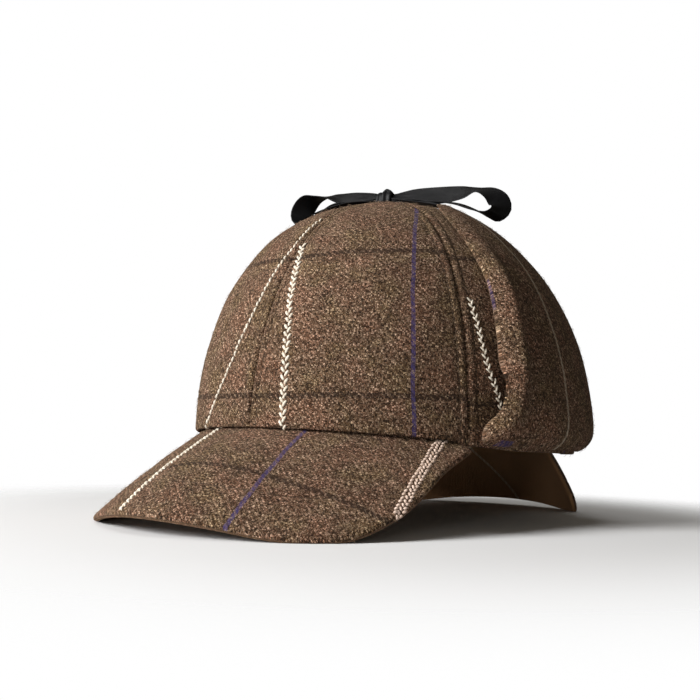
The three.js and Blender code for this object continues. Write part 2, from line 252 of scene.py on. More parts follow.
def dome_point(turn, rise):
    power = 2 / roundness(turn)
    across = np.maximum(np.cos(rise), 0) ** power
    up = np.maximum(np.sin(rise), 0) ** power
    x = HALF_WIDTH * np.sin(turn) * across
    y = -HALF_LENGTH * np.cos(turn) * across + TOP_SHIFT * (1 - across)
    return np.stack(np.broadcast_arrays(x, y, CROWN_HEIGHT * up), -1)


def dome_normal(turn, rise):
    step = 1e-3
    at = np.clip(rise, 2 * step, math.pi / 2 - 2 * step)
    around = dome_point(turn + step, at) - dome_point(turn - step, at)
    up = dome_point(turn, at + step) - dome_point(turn, at - step)
    return unit(np.cross(around, up))


def lifted_point(turn, rise, lift):
    turn, rise, lift = np.broadcast_arrays(turn, rise, lift)
    return dome_point(turn, rise) + dome_normal(turn, rise) * lift[..., None]


def rise_at_height(turn, height):
    return np.arcsin((height / CROWN_HEIGHT) ** (roundness(turn) / 2))


def rise_at_tip(turn):
    rim_radius = np.hypot(HALF_WIDTH * np.sin(turn), HALF_LENGTH * np.cos(turn))
    return np.arccos((TIP_RADIUS / rim_radius) ** (roundness(turn) / 2))


def rim_height(turn):
    from_front = np.arccos(np.cos(turn))
    return FRONT_ARCH * np.cos(np.minimum(ARCH_SPEED * from_front, math.pi / 2))


def rim_outward(turn):
    return unit(np.stack([np.sin(turn) / HALF_WIDTH, -np.cos(turn) / HALF_LENGTH, 0 * turn], -1))


def dome_height(x, y):
    """The dome's height above a place in plan, found by repetition."""
    share = np.hypot(x / HALF_WIDTH, y / HALF_LENGTH)
    for _ in range(12):
        forward = (y - TOP_SHIFT * (1 - share)) / HALF_LENGTH
        share = min(np.hypot(x / HALF_WIDTH, forward), 1)
    power = roundness(np.arctan2(x / HALF_WIDTH, -forward))
    return CROWN_HEIGHT * (1 - share**power) ** (1 / power)


# Each peak: its upper face runs from under the crown's edge to an outer edge that the tables give
def peak_face(spec, along, w):
    """Points of the upper face and its normals, at shares along (-1 to 1) and out (0 to 1) of the peak."""
    along, w = np.broadcast_arrays(along, w)
    turn = spec["middle"] + along * spec["half_angle"]
    from_point = dome_point(turn, 0 * turn) - CROWN_WALL * rim_outward(turn)
    from_point[..., 2] = rim_height(turn) - GAP
    reach = from_table(spec["reaches"], np.abs(along), level_start=True)
    drop = from_table(spec["drops"], np.abs(along), level_start=True)
    to_point = dome_point(turn, 0 * turn) + (spec["reach"] * reach)[..., None] * rim_outward(turn)
    to_point[..., 2] = -GAP - spec["drop"] * drop
    slope = to_point - from_point
    length = np.linalg.norm(slope, axis=-1, keepdims=True)
    slope = slope / length
    side = np.stack([np.cos(turn), np.sin(turn), 0 * turn], -1)
    face = unit(np.cross(side, slope))
    face = np.where(face[..., 2:] < 0, -face, face)
    swell = spec["bulge"] * reach**2 * 4 * w * (1 - w)
    return from_point + slope * length * w[..., None] + face * swell[..., None], face, length[..., 0]


def lowest_of(spec):
    """The lowest corner of the CAD peak's sections."""
    along = np.linspace(-1, 1, spec["columns"] + 1)[:, None]
    w = np.linspace(0, 1, spec["rows"] + 1)[None, :]
    upper, face, _ = peak_face(spec, along, w)
    lower = upper - spec["thickness"] * face
    corners = np.concatenate([upper.reshape(-1, 3), lower[:, 1:].reshape(-1, 3)])
    return corners[corners[:, 2].argmin()]


front_low = lowest_of(FRONT_PEAK)
back_low = lowest_of(BACK_PEAK)
REST_SLOPE = (front_low[2] - back_low[2]) / (front_low[1] - back_low[1])
REST_HEIGHT = front_low[2] - REST_SLOPE * front_low[1] + REST_FLAT
# the gores are alike left and right, so their box tells how far the part's frame lies behind the rim's
rear = float(lifted_point(np.array(math.pi), np.array(0.0), np.array(0.0))[1])
SHIFT_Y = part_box("crown_back_left")[1].y / MM - rear


def placed(points):
    """Points in the crown's frame, in millimetres, as points in the part's frame, in metres."""
    height = points[..., 2] - REST_SLOPE * points[..., 1] - REST_HEIGHT
    shifted = np.stack([points[..., 0], points[..., 1] + SHIFT_Y, np.maximum(height, 0)], -1)
    return shifted * MM


# Meshes
def new_object(name, points, faces, material, cloth=None):
    mesh = bpy.data.meshes.new(name)
    mesh.from_pydata(points.tolist(), [], faces.tolist())
    mesh.polygons.foreach_set("use_smooth", np.ones(len(faces), bool))
    if cloth is not None:
        layer = mesh.uv_layers.new(name="cloth")
        corners = np.empty(len(mesh.loops), np.int32)
        mesh.loops.foreach_get("vertex_index", corners)
        layer.data.foreach_set("uv", cloth[corners].astype(np.float32).ravel())
    mesh.materials.append(material)
    mesh.validate()
    mesh.update()
    piece = bpy.data.objects.new(name, mesh)
    bpy.context.scene.collection.objects.link(piece)
    return piece


def volume_of(points, faces):
    a, b, c, d = (points[faces[:, k]] for k in range(4))
    return (np.cross(a, b) * c).sum() + (np.cross(a, c) * d).sum()


def shell(name, outer, inner, cloth, material, lining=None):
    """A closed sheet between two grids of points, its four edges joined; cloth is each point's place on the
    flat cloth, in millimetres, and lining the same for the inner face where that is another layer."""
    rows, columns = outer.shape[:2]
    count = rows * columns
    index = np.arange(count).reshape(rows, columns)
    front = np.stack([index[:-1, :-1], index[:-1, 1:], index[1:, 1:], index[1:, :-1]], -1).reshape(-1, 4)
    back = front[:, ::-1] + count
    ring = np.concatenate([index[0, :-1], index[:-1, -1], index[-1, :0:-1], index[:0:-1, 0]])
    after = np.roll(ring, -1)
    edge = np.stack([after, ring, ring + count, after + count], -1)
    faces = np.concatenate([front, back, edge])
    points = np.concatenate([outer.reshape(-1, 3), inner.reshape(-1, 3)])
    if volume_of(points, faces) < 0:
        faces = faces[:, ::-1]
    under = cloth if lining is None else lining
    flat = np.concatenate([cloth.reshape(-1, 2), under.reshape(-1, 2)])
    return new_object(name, placed(points), faces, material, flat)


def turned_cloth(cloth, degrees, aside=0.0):
    """Places on cloth whose threads run turned by an angle."""
    c, s = math.cos(math.radians(degrees)), math.sin(math.radians(degrees))
    u, v = cloth[..., 0], cloth[..., 1]
    return np.stack([u * c + v * s + aside, v * c - u * s], -1)


def rounded(distance, radius):
    """Share of a sheet's thickness at a distance from its edge, so that the edge is round."""
    inside = 1 - np.clip(distance / radius, 0.02, 1)
    return np.sqrt(1 - inside**2)


def ripple(u, v, seed, size=28.0):
    """Soft unevenness of hand-pressed cloth, between about -1 and 1."""
    phases = np.random.default_rng(seed).uniform(0, 2 * math.pi, (5, 3))
    total = 0
    for angle, start, stretch in phases:
        wave = size * (0.7 + 0.15 * stretch)
        total = total + np.sin(2 * math.pi * (u * math.cos(angle) + v * math.sin(angle)) / wave + start)
    return total / len(phases)


def grid_normals(points):
    down = np.gradient(points, axis=0)
    across = np.gradient(points, axis=1)
    return unit(np.cross(across, down))


def facing_out(surface):
    """Normals of a surface's outer face, away from the middle of the hat."""
    points = surface["outer"]
    normals = grid_normals(points)
    inward = ((points - surface["centre"]) * normals).sum() < 0
    return -normals if inward else normals


def stripe_path(surface, place, margin=0.0):
    """Where a stripe of the cloth lies on a surface: its points and normals, row by row. place is its
    distance from the cloth's middle, or a table of that over the cloth's length."""
    points, cloth, normals = surface["outer"], surface["cloth"], facing_out(surface)
    found, facing = [], []
    for row in range(len(points)):
        u = cloth[row, :, 0]
        order = np.argsort(u)
        at = place if np.isscalar(place) else float(from_table(place, cloth[row, len(u) // 2, 1]))
        if not u[order[0]] + margin < at < u[order[-1]] - margin:
            continue
        found.append(rows_at(at, u[order], points[row, order]))
        facing.append(rows_at(at, u[order], normals[row, order]))
    return np.array(found), np.array(facing)


def evenly(path, normals, pitch, start=0.0, end=0.0):
    """Places along a path at an even pitch, each with its tangent and normal."""
    lengths = arc_lengths(path)
    stops = np.arange(start, lengths[-1] - end, pitch)
    tangent = rows_at(stops + 0.2, lengths, path) - rows_at(stops - 0.2, lengths, path)
    return rows_at(stops, lengths, path), unit(tangent), unit(rows_at(stops, lengths, normals))


def yarn_bits(places, along, facing, length, width, height, sides=8, rings=7):
    """Short lengths of yarn, each a closed spindle lying on the cloth: arrays of points and faces."""
    across = np.cross(facing, along)
    share = np.linspace(-1, 1, rings)
    girth = np.sqrt(np.maximum(1 - np.abs(share) ** 2.6, 0.02))
    angle = np.linspace(0, 2 * math.pi, sides, endpoint=False)
    shape_along = np.repeat(share * length / 2, sides)
    shape_across = (girth[:, None] * np.cos(angle) * width / 2).ravel()
    shape_up = (girth[:, None] * np.sin(angle) * height / 2).ravel()
    arch = np.repeat(height * (0.15 - 0.25 * share**2), sides)
    points = (
        places[:, None]
        + along[:, None] * shape_along[None, :, None]
        + across[:, None] * shape_across[None, :, None]
        + facing[:, None] * (shape_up + arch)[None, :, None]
    )
    step = np.arange(sides)
    after = (step + 1) % sides
    ring = np.arange(rings - 1)[:, None] * sides
    quads = np.stack([ring + step, ring + after, ring + sides + after, ring + sides + step], -1)
    # an end is closed by quads between its two halves
    k = np.arange(sides // 2 - 1)
    first = np.stack([k, sides - 1 - k, sides - 2 - k, k + 1], -1)
    last = first[:, ::-1] + (rings - 1) * sides
    faces = np.concatenate([quads.reshape(-1, 4), first, last])
    everything = faces[None] + (np.arange(len(places)) * rings * sides)[:, None, None]
    return points.reshape(-1, 3), everything.reshape(-1, 4)


def joined(parts):
    """Several arrays of points and faces as one."""
    points, faces, count = [], [], 0
    for part_points, part_faces in parts:
        points.append(part_points)
        faces.append(part_faces + count)
        count += len(part_points)
    return np.concatenate(points), np.concatenate(faces)


def turned(vector, axis, angle):
    """Vectors turned about axes square to them."""
    return vector * math.cos(angle) + np.cross(axis, vector) * math.sin(angle)


def chain(path, normals, width=CHAIN_WIDTH, columns=2, pitch=CHAIN_PITCH, slant=STITCH_SLANT):
    """A woven chain stripe: columns of plump slanted stitches, each half a stitch on from its neighbour."""
    parts = []
    column_width = width / columns
    for column in range(columns):
        side = 1 if column % 2 else -1
        start = (0.5 + 0.25 * side) * pitch
        places, along, facing = evenly(path, normals, pitch, start, end=0.4 * pitch)
        if not len(places):
            continue
        across = np.cross(facing, along)
        jitter = random.uniform(-0.25, 0.25, (len(places), 2))
        offset = (column - (columns - 1) / 2) * column_width
        centres = places + across * (offset + jitter[:, :1]) + along * jitter[:, 1:]
        aslant = turned(along, facing, side * math.radians(slant))
        parts.append(yarn_bits(centres, aslant, facing, 0.98 * pitch, 0.8 * column_width, 0.95))
    return parts


# Materials
def new_material(name):
    """A material with a principled shader: the material, its graph and the shader."""
    material = bpy.data.materials.new(name)
    material.use_nodes = True
    material.node_tree.nodes.clear()
    g = Graph(material.node_tree)
    shader = g.node("ShaderNodeBsdfPrincipled")
    g.node("ShaderNodeOutputMaterial", {"Surface": shader.outputs["BSDF"]})
    return material, g, shader


class Graph:
    """Short names for the nodes that the materials need."""

    def __init__(self, tree):
        self.tree = tree

    def node(self, kind, inputs=None, **settings):
        made = self.tree.nodes.new(kind)
        for name, value in settings.items():
            setattr(made, name, value)
        return self.fill(made, inputs or {})

    def fill(self, node, inputs):
        """Gives a node's inputs their values or links."""
        for key, value in inputs.items():
            if isinstance(value, bpy.types.NodeSocket):
                self.tree.links.new(value, node.inputs[key])
            else:
                node.inputs[key].default_value = value
        return node

    def math(self, operation, a, b=0.0, c=0.0):
        return self.node("ShaderNodeMath", {0: a, 1: b, 2: c}, operation=operation).outputs[0]

    def times(self, a, b):
        return self.math("MULTIPLY", a, b)

    def times_plus(self, a, b, c):
        return self.math("MULTIPLY_ADD", a, b, c)

    def sine(self, angle):
        return self.math("SINE", angle)

    def mix(self, factor, a, b, blend="MIX"):
        made = self.node("ShaderNodeMix", data_type="RGBA", blend_type=blend)
        return self.fill(made, {0: factor, 6: a, 7: b}).outputs[2]

    def tinted(self, colour, tint, share=1.0):
        return self.mix(share, colour, tint, "MULTIPLY")

    def noise(self, vector, scale, detail=2.0, roughness=0.5):
        inputs = {"Vector": vector, "Scale": scale, "Detail": detail, "Roughness": roughness}
        return self.node("ShaderNodeTexNoise", inputs).outputs["Fac"]

    def vector(self, x, y, z=0.0):
        return self.node("ShaderNodeCombineXYZ", {0: x, 1: y, 2: z}).outputs[0]

    def ramp(self, factor, stops):
        made = self.node("ShaderNodeValToRGB", {0: factor})
        elements = made.color_ramp.elements
        while len(elements) < len(stops):
            elements.new(0.5)
        for element, (place, colour) in zip(elements, stops):
            element.position = place
            element.color = colour
        return made.outputs[0]

    def window(self, value, middle, width):
        """1 where the value is within half a width of the middle."""
        off = self.math("ABSOLUTE", self.math("SUBTRACT", value, middle))
        return self.math("LESS_THAN", off, width / 2)

    def bump(self, height, strength, distance):
        inputs = {"Height": height, "Strength": strength, "Distance": distance}
        return self.node("ShaderNodeBump", inputs).outputs[0]

    def cloth(self):
        """The place on the flat cloth, in millimetres: across it and along it."""
        uv = self.node("ShaderNodeUVMap", uv_map="cloth").outputs[0]
        split = self.node("ShaderNodeSeparateXYZ", {0: uv})
        return split.outputs[0], split.outputs[1]


def grey(value):
    return (value, value, value, 1.0)


DARK_BROWN = (0.014, 0.0075, 0.004, 1.0)
BROWN = (0.072, 0.038, 0.02, 1.0)
TAN = (0.165, 0.092, 0.055, 1.0)
BEIGE = (0.45, 0.31, 0.215, 1.0)
OLIVE_TINT = (0.95, 1.0, 0.86, 1.0)
RUST_TINT = (1.08, 0.97, 0.96, 1.0)
CREAM = (0.5, 0.42, 0.32, 1.0)
BLUE = (0.05, 0.04, 0.135, 1.0)
DARK_WEFT = (0.014, 0.008, 0.006, 1.0)
# a plain brown for the layer under the peaks, made lighter than the cloth: painted light that lifts the shade
# under them
PLAIN_PAINTED_LIGHT_BROWN = (0.3, 0.165, 0.08, 1.0)
SATIN_DARK = (0.001, 0.001, 0.0014, 1.0)
SATIN_PALE = (0.005, 0.005, 0.006, 1.0)
HEATHER = [(0.0, DARK_BROWN), (0.4, DARK_BROWN), (0.47, BROWN), (0.54, TAN), (0.62, BEIGE), (1.0, BEIGE)]

WEAVE_SHARES = (0.4, 0.75)  # of a stripe's colour where its own yarns lie under and over
STRIPE_THREADS = {"cream": 2.3, "blue": 2.4, "dark": 3.2}  # how many yarns each stripe is wide
WARP_SPREAD = 5.31  # so that neighbouring yarns draw their colours from places far apart
WEFT_SPREAD = 7.77
HAIR_LAYERS = [(0.6, 3.0), (-0.75, 8.0), (0.1, 13.0)]  # direction of the hairs, and where their noise is cut


def weave(g, u, v):
    """A 2/2 twill of heathered yarns: where the warp is on top, the height of the yarns and their colour."""
    warp, weft = g.math("DIVIDE", u, THREAD), g.math("DIVIDE", v, THREAD)
    warp_index, weft_index = g.math("FLOOR", warp), g.math("FLOOR", weft)
    heights = []
    for yarns, other, index, sign in ((warp, weft, warp_index, 1.0), (weft, warp, weft_index, -1.0)):
        phase = g.math("FLOORED_MODULO", g.math("ADD", other, index), 4.0)
        rise = g.times(g.sine(g.times(phase, math.pi / 2)), sign)
        round_yarn = g.sine(g.times(g.math("FRACT", yarns), math.pi))
        heights.append(g.times_plus(round_yarn, 0.6, rise))
    warp_up = g.math("GREATER_THAN", *heights)

    # each yarn is spun from wool of several colours, so its colour changes along it
    warp_place = g.vector(g.times(warp_index, WARP_SPREAD), g.times(v, 0.9))
    weft_place = g.vector(g.times(weft_index, WEFT_SPREAD), g.times(u, 0.9), 9.0)
    warp_colour = g.ramp(g.noise(warp_place, 1.0, 3.0, 0.75), HEATHER)
    weft_colour = g.tinted(g.ramp(g.noise(weft_place, 1.0, 3.0, 0.75), HEATHER), grey(0.72))
    return warp_up, g.math("MAXIMUM", *heights), g.mix(warp_up, weft_colour, warp_colour)


def tinted_with_hollow_shade(g, place, height, colour):
    """Olive and rust tints that drift over the cloth, painted shade in the hollows between its yarns with a
    painted highlight on their tops, and its grain.
    """
    tint = g.ramp(g.noise(place, 0.06, 3.0, 0.6), [(0.38, OLIVE_TINT), (0.5, grey(1.0)), (0.6, RUST_TINT)])
    mottle = g.ramp(g.noise(place, 0.05, 4.0, 0.6), [(0.25, grey(0.78)), (0.75, grey(1.2))])
    # painted shade: darker where the yarns sink into the weave, with a painted highlight where they stand
    # highest
    hollow = g.ramp(g.times(height, 0.63), [(0.0, grey(0.28)), (0.55, grey(0.95)), (1.0, grey(1.25))])
    grain = g.ramp(g.noise(place, 3.0, 2.0, 0.8), [(0.37, grey(0.1)), (0.5, grey(0.9)), (0.63, grey(2.3))])
    for layer in (tint, mottle, hollow):
        colour = g.tinted(colour, layer)
    return g.tinted(colour, grain, 0.9)


def with_hairs(g, u, v, colour):
    """Fine dark and pale hairs that lie on the cloth in a few directions."""
    for turn, seed in HAIR_LAYERS:
        lengthwise = g.times_plus(u, math.sin(turn), g.times(v, math.cos(turn)))
        sideways = g.times_plus(u, math.cos(turn), g.times(v, -math.sin(turn)))
        hairiness = g.noise(g.vector(g.times(sideways, 2.9), g.times(lengthwise, 0.6), seed), 1.0, 2.0, 0.6)
        dark = g.ramp(hairiness, [(0.0, grey(0.7)), (0.31, grey(0.7)), (0.4, grey(0.0)), (1.0, grey(0.0))])
        pale = g.ramp(hairiness, [(0.0, grey(0.0)), (0.62, grey(0.0)), (0.7, grey(0.5)), (1.0, grey(0.6))])
        colour = g.mix(pale, g.mix(dark, colour, DARK_BROWN), BEIGE)
    return colour


def tweed(name, blues=(), creams=(), wefts=(), blue_lean=0.0, blue_span=(0, 1000), blue_bits=(),
          blue_strength=1.0, plain=0.0):
    """Tweed with its check. blues and creams are the places of thin warp stripes across the cloth, and wefts
    those of dark lines along it, in millimetres; blue_lean is how far the blue ones lean, and blue_span the
    middle and length of the part of them that shows. blue_bits are short pieces of a blue weft: the place of
    their middle, their width and their length. plain is how far the layer under a peak is covered with a
    plain brown lighter than the cloth, painted light that lifts the shade under the peak."""
    material, g, shader = new_material(name)
    u, v = g.cloth()
    sway = g.noise(g.vector(u, v), 0.035, detail=1.0)
    wander = g.times(g.math("SUBTRACT", sway, 0.5), 2.2)
    u, v = g.math("ADD", u, wander), g.math("ADD", v, wander)
    place = g.vector(u, v)
    warp_up, height, colour = weave(g, u, v)
    colour = with_hairs(g, u, v, tinted_with_hollow_shade(g, place, height, colour))
    # the layer under a peak is covered with the lighter plain brown: painted light that lifts the shade there
    colour = g.mix(g.times(g.window(u, UNDERSIDE, UNDERSIDE), plain), colour, PLAIN_PAINTED_LIGHT_BROWN)

    # stripes of the check, stronger where their own yarns are on top
    under, over = WEAVE_SHARES
    warp_share = g.times_plus(warp_up, over - under, under)
    weft_share = g.times_plus(warp_up, under - over, over)
    widths = {kind: threads * THREAD for kind, threads in STRIPE_THREADS.items()}
    leaning = g.times_plus(v, blue_lean, u)
    stripes = [(g.window(v, at, widths["dark"]), weft_share, DARK_WEFT) for at in wefts]
    for at in blues:
        shown = g.times(g.window(leaning, at, widths["blue"]), g.window(v, *blue_span))
        stripes.append((g.times(shown, blue_strength), warp_share, BLUE))
    for middle_u, middle_v, width, length in blue_bits:
        bit = g.times(g.window(u, middle_u, width), g.window(v, middle_v, length))
        stripes.append((bit, weft_share, BLUE))
    stripes += [(g.window(u, at, widths["cream"]), warp_share, CREAM) for at in creams]
    for shown, share, stripe_colour in stripes:
        colour = g.mix(g.times(shown, share), colour, stripe_colour)

    fine = g.noise(place, 3.2, 3.0, 0.7)
    relief = g.math("ADD", g.times(height, 0.5), g.times(fine, 0.9))
    g.fill(shader, {
        "Base Color": colour, "Normal": g.bump(relief, 0.85, 0.0004), "Roughness": 0.95,
        "Specular IOR Level": 0.1, "Sheen Weight": 0.04, "Sheen Roughness": 0.6,
        "Sheen Tint": (0.8, 0.68, 0.52, 1.0),
    })
    return material


def yarn(name, colour, dark):
    """Plain spun yarn, with darker patches of painted shade that stand for its hollows."""
    material, g, shader = new_material(name)
    place = g.node("ShaderNodeTexCoord").outputs["Object"]
    # painted shade: noise darkens the yarn in patches
    shade = g.ramp(g.noise(place, 900.0, 3.0, 0.7), [(0.3, dark), (0.6, colour)])
    inputs = {"Vector": place, "Scale": 900.0, "Distortion": 3.0}
    twist = g.node("ShaderNodeTexWave", inputs, bands_direction="DIAGONAL").outputs["Fac"]
    g.fill(shader, {
        "Base Color": shade, "Normal": g.bump(twist, 0.5, 0.0001), "Roughness": 0.9,
        "Specular IOR Level": 0.2,
    })
    return material


def satin():
    material, g, shader = new_material("black_satin")
    u, v = g.cloth()
    threads = g.noise(g.vector(g.times(u, 6.0), g.times(v, 0.4)), 1.0, 3.0, 0.6)
    rib = g.sine(g.times(v, 2 * math.pi / RIB_PITCH))
    relief = g.math("ADD", threads, g.times(rib, 0.12))
    g.fill(shader, {
        "Base Color": g.ramp(threads, [(0.3, SATIN_DARK), (0.75, SATIN_PALE)]),
        "Roughness": g.ramp(threads, [(0.3, grey(0.45)), (0.7, grey(0.6))]),
        "Normal": g.bump(relief, 0.35, 0.0001),
        "Specular IOR Level": 0.22,
        "Anisotropic": 0.4,
    })
    return material


# Pieces
def rides(piece, slot, *nodes):
    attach(piece, "root")
    if nodes:
        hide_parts(*nodes)
    return piece


def meridian(turn, top_rise, count):
    """Angles up the dome, and how far up the cloth each of them is."""
    rises = np.linspace(0, top_rise, count)
    return rises, arc_lengths(dome_point(np.full(count, turn), rises))


def gore_surface(index):
    """The outer and inner face of a gore and its place on the flat cloth."""
    sector = 2 * math.pi / GORE_COUNT
    start = index * sector
    centre = start + sector / 2
    rises, arcs = meridian(centre, rise_at_tip(centre), 600)
    low = float(np.interp(rise_at_height(centre, max(rim_height(centre), 1e-6)), rises, arcs))
    top = arcs[-1] - low
    climbs = np.concatenate([HEM_ROWS, np.arange(HEM_ROWS[-1] + 2, top - 1, 2.0), [top]])
    share = np.interp(low + climbs, arcs, rises) / rises[-1]
    v = ((share - share[0]) / (1 - share[0]))[:, None]
    centre_rise = np.interp(low + climbs, arcs, rises)[:, None]
    half = sector / 2 * MEAN_RADIUS * np.maximum(np.cos(centre_rise), 0.004) ** (2 / roundness(centre))
    squeeze = np.minimum(1, half / (2 * SEAM_COLUMNS[-1]))
    near = np.array(SEAM_COLUMNS)[None] * squeeze
    middle = near[:, -1:] + (half - near[:, -1:]) * np.linspace(0, 1, 24)[None, 1:]
    distance = np.concatenate([near, middle], 1)
    u = np.concatenate([distance, (2 * half - distance)[:, -2::-1]], 1) / (2 * half)
    d = np.concatenate([distance, distance[:, -2::-1]], 1) / squeeze
    turn = start + u * sector
    lowest = rise_at_height(turn, np.maximum(rim_height(turn), 1e-6))
    rise = lowest + (rise_at_tip(turn) - lowest) * v
    cloth = np.stack(np.broadcast_arrays((2 * u - 1) * half, (low + climbs)[:, None]), -1)
    puff = GORE_PUFF * (1 - np.abs(2 * u - 1) ** 3) * (1 - v**4)
    hem = climbs[:, None] + 0 * u
    fullness = rounded(d, 1.3) * rounded(hem, CROWN_WALL / 2)
    fade = squeeze * (1 - smoothstep(v, 0.9, 1.0))
    turned_in = 0.35 * (1 - smoothstep(d, 2.5, TOPSTITCH_OFFSET + 0.6)) * smoothstep(d, 0, 1.8)
    groove = -0.25 * bump(d, TOPSTITCH_OFFSET, 0.6)
    soft = 0.3 * ripple(cloth[..., 0], cloth[..., 1], 20 + index) * smoothstep(d, 4, 14)
    detail = (turned_in + groove) * fade + soft * (1 - smoothstep(v, 0.85, 1.0)) * smoothstep(hem, 0, 8)
    middle_lift = puff - CROWN_WALL / 2
    outer = lifted_point(turn, rise, middle_lift + CROWN_WALL / 2 * fullness + detail)
    inner = lifted_point(turn, rise, middle_lift - CROWN_WALL / 2 * fullness)
    from_front = np.degrees(np.arccos(np.cos(turn)))
    free = smoothstep(from_front, 55, 60) * (1 - smoothstep(from_front, 138, 143))
    for skin in (outer, inner):
        skin[..., 2] -= HEM_SAG * free * bump(skin[..., 2], 0, 4)
    return {"outer": outer, "inner": inner, "cloth": cloth, "centre": np.array([0, 0, 20.0])}


def seam_rows(surface):
    """The two rows of topstitching beside a gore's seams."""
    column = SEAM_COLUMNS.index(TOPSTITCH_OFFSET)
    normals = facing_out(surface)
    last = int(0.93 * len(surface["outer"]))
    return [(surface["outer"][2:last, c], normals[2:last, c]) for c in (column, -1 - column)]


FRONT_CHAIN = [(0, 30), (45, 31), (70, 32), (96, 31.3), (150, 31)]
SLOPING_CHAIN = [
    (0, 13), (4, 14.5), (14, 21), (33, 30), (58, 33.5), (84, 31), (98, 28), (112, 24), (126, 19), (150, 10),
]
HIDDEN_CHAIN = [(0, 31), (20, 34), (34, 38), (46, 39.3), (150, 39.3)]
BACK_CHAIN = [(0, 27), (150, 27)]
SIDE_GORE = {
    "chain": HIDDEN_CHAIN, "blue": 14, "stitches": (SLIM_CHAIN,), "margin": 4, "above_hem": HIDDEN_ROWS,
}
GORES = {
    "crown_front_left": {"side": -1, "chain": FRONT_CHAIN, "blue": 25},
    "crown_side_left": {"side": -1, **SIDE_GORE},
    "crown_back_left": {"side": 1, "chain": BACK_CHAIN, "blue": 23},
    "crown_back_right": {"side": -1, "chain": BACK_CHAIN, "blue": 23},
    "crown_side_right": {"side": 1, **SIDE_GORE},
    "crown_front_right": {
        "side": 1, "chain": SLOPING_CHAIN, "blue": 23.5, "margin": 1.2,
        "stitches": (NARROW_CHAIN, 1, NARROW_PITCH, NARROW_SLANT),
    },
}

cream_yarn = yarn("cream_yarn", (0.82, 0.75, 0.63, 1.0), (0.4, 0.33, 0.25, 1.0))
beige_yarn = yarn("beige_yarn", (0.66, 0.51, 0.42, 1.0), (0.3, 0.21, 0.15, 1.0))
brown_thread = yarn("brown_thread", (0.075, 0.048, 0.03, 1.0), (0.03, 0.02, 0.013, 1.0))
black_satin = satin()
wool_hair = yarn("wool_hair", (0.42, 0.3, 0.2, 1.0), (0.1, 0.06, 0.04, 1.0))
chains = []
broad_chains = []
threads = []
hairs = []


def topstitches(path, normals, start, width, height):
    """A row of short stitches in thin thread."""
    places, along, up = evenly(path, normals, TOPSTITCH_PITCH, start, end=2)
    return yarn_bits(places, along, up, TOPSTITCH_LENGTH, width, height, sides=6, rings=5)


def build_crown():
    for index, (name, look) in enumerate(GORES.items()):
        surface = gore_surface(index)
        side = look["side"]
        material = tweed(
            f"tweed_{name}", blues=[-side * look["blue"]], wefts=GORE_WEFTS, blue_lean=-side * GORE_SKEW
        )
        piece = shell(f"{name}_cloth", surface["outer"], surface["inner"], surface["cloth"], material)
        rides(piece, "tweed", name)
        hairs.append(loose_hairs(surface))
        places = [(v, side * u) for v, u in look["chain"]]
        path, normals = stripe_path(surface, places, margin=look.get("margin", 1.6))
        above = look.get("above_hem", 0)
        chains.extend(chain(path[above:], normals[above:], *look.get("stitches", (CHAIN_WIDTH,))))
        for row, facing in seam_rows(surface):
            threads.append(topstitches(row, facing, 1.5, 0.5, 0.4))


def unrolled(near, far):
    """The flat shape of a strip that is bent between two edges: places of both, worked out triangle by
    triangle from the middle towards one end."""
    length = np.linalg.norm(far[0] - near[0])
    flat_near, flat_far = [np.zeros(2)], [np.array([0.0, -length])]

    def apart(p, q):
        return np.linalg.norm(p - q)

    def reach(p, q, from_p, from_q):
        line = q - p
        span = np.linalg.norm(line)
        line = line / span
        x = (from_p**2 - from_q**2 + span**2) / (2 * span)
        y = math.sqrt(max(from_p**2 - x**2, 0))
        return p + line * x + np.array([-line[1], line[0]]) * y

    for i in range(1, len(near)):
        a, b = flat_near[-1], flat_far[-1]
        next_far = reach(a, b, apart(far[i], near[i - 1]), apart(far[i], far[i - 1]))
        next_near = reach(a, next_far, apart(near[i], near[i - 1]), apart(near[i], far[i]))
        flat_far.append(next_far)
        flat_near.append(next_near)
    return np.array(flat_near), np.array(flat_far)


